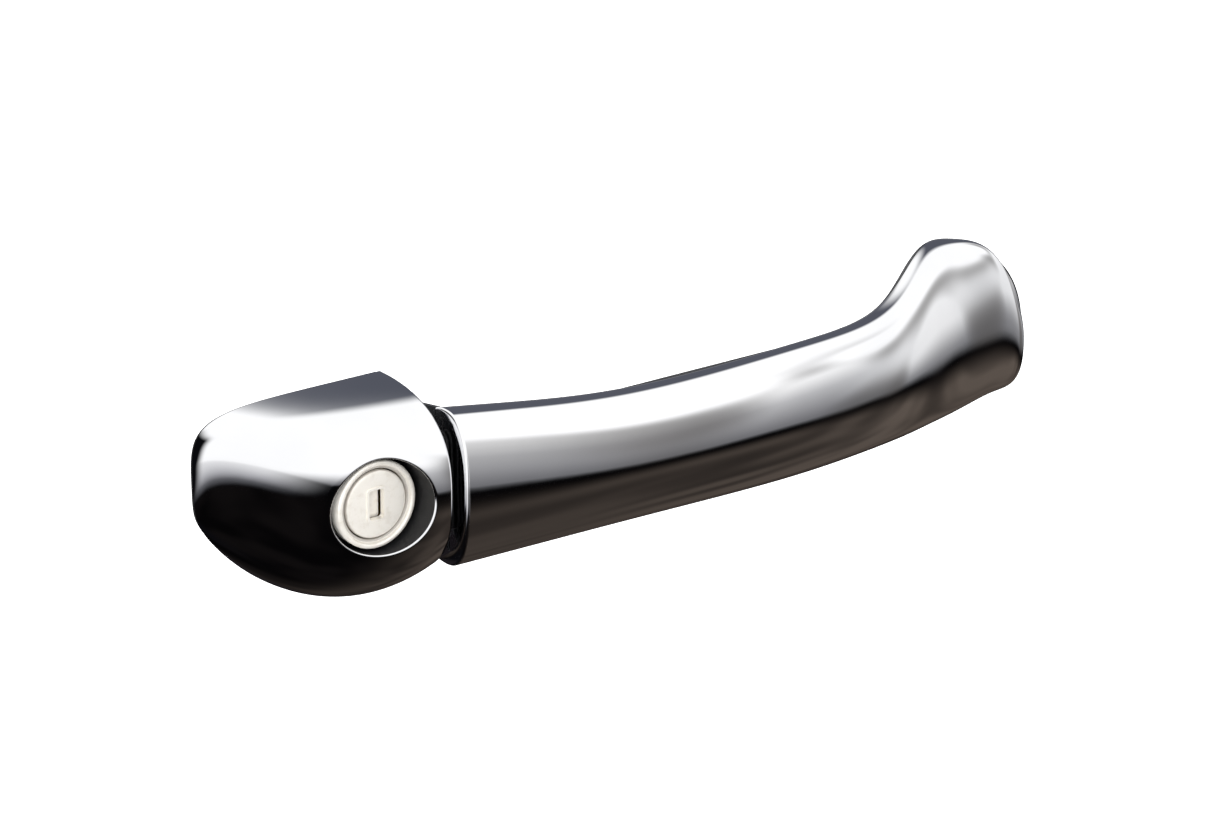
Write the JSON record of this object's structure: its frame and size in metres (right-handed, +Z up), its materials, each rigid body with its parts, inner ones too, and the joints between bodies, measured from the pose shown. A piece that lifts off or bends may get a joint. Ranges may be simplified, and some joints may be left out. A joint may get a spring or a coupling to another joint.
{
  "type": "car door handle",
  "caption": "Pull-type outside car door handle: a chromed bar grip on a front pivot, a fixed cap with a key lock, and the carrier, bell crank and return springs behind them.",
  "frame": {"origin": "on the carrier face that bears on the inside of the door skin, at the seam between cap and grip, mid height of the handle", "axes": "+X forwards along the handle to the pivot foot, +Y into the door, +Z up"},
  "size_m": [0.245, 0.0721, 0.0583],
  "materials": {
    "chrome": "bright plated mouldings",
    "satin_nickel": "satin plated lock face",
    "zinc": "raw zinc casting",
    "steel": "zinc-plated turned steel",
    "spring_steel": "oiled spring wire",
    "brass": "machined brass",
    "black_nylon": "glass-filled nylon moulding",
    "liner_plastic": "satin black moulding",
    "rubber": "moulded rubber",
    "acetal": "natural acetal"
  },
  "bodies": {
    "carrier": {"carrier_frame": "black_nylon", "cap_shell": "chrome", "cap_seal": "rubber", "seam_buffer": "rubber", "clamp_screw": "steel", "clamp_insert": "brass", "skin_screw": "steel", "skin_insert": "brass", "lock_ring": "satin_nickel", "lock_housing": "zinc", "lock_seal_ring": "rubber", "plug_return_spring": "spring_steel", "pivot_pin": "steel", "pivot_clip": "spring_steel", "crank_pin": "steel", "crank_clip": "spring_steel", "crank_spring": "spring_steel", "foot_seal": "rubber", "leg_seal": "rubber", "cable_clip": "acetal"},
    "grip": {"grip_shell": "chrome", "grip_liner": "liner_plastic", "pull_leg": "black_nylon", "pivot_arm": "black_nylon", "pivot_bush": "acetal", "liner_screw_1": "steel", "liner_screw_2": "steel"},
    "crank": {"crank_lever": "zinc", "crank_finger": "steel", "counterweight": "zinc", "counterweight_rivet": "steel"},
    "plug": {"lock_plug": "brass", "plug_face": "satin_nickel", "wafer_1": "brass", "wafer_2": "brass", "wafer_3": "brass", "wafer_4": "brass", "shutter_pin": "steel", "lock_lever": "steel", "lock_lever_clip": "spring_steel"},
    "shutter": {"key_shutter": "satin_nickel"}
  },
  "joints": [
    {"name": "grip_pull", "type": "hinge", "parent": "carrier", "child": "grip", "pos_m": [0.191, 0.009, 0], "axis": [0, 0, 1], "range_deg": [0, 7], "stiffness_Nm_per_rad": 2, "springref_deg": -8.59},
    {"name": "crank_turn", "type": "hinge", "parent": "carrier", "child": "crank", "pos_m": [0.0142, 0.014, -0.014], "axis": [1, 0, 0], "range_deg": [0, 77], "stiffness_Nm_per_rad": 0.05, "springref_deg": -28.65, "deforming": ["crank_spring"]},
    {"name": "key_turn", "type": "hinge", "parent": "carrier", "child": "plug", "pos_m": [-0.0155, 0, 0], "axis": [0, 1, 0], "range_deg": [-70, 70], "stiffness_Nm_per_rad": 0.03, "deforming": ["plug_return_spring"]},
    {"name": "shutter_flap", "type": "hinge", "parent": "plug", "child": "shutter", "pos_m": [-0.0155, -0.0195, 0.0042], "axis": [1, 0, 0], "range_deg": [0, 75], "stiffness_Nm_per_rad": 0.002, "springref_deg": -17.19}
  ],
  "couplings": [
    {"joint": "crank_turn", "follows": "grip_pull", "ratio": 10.857}
  ]
}
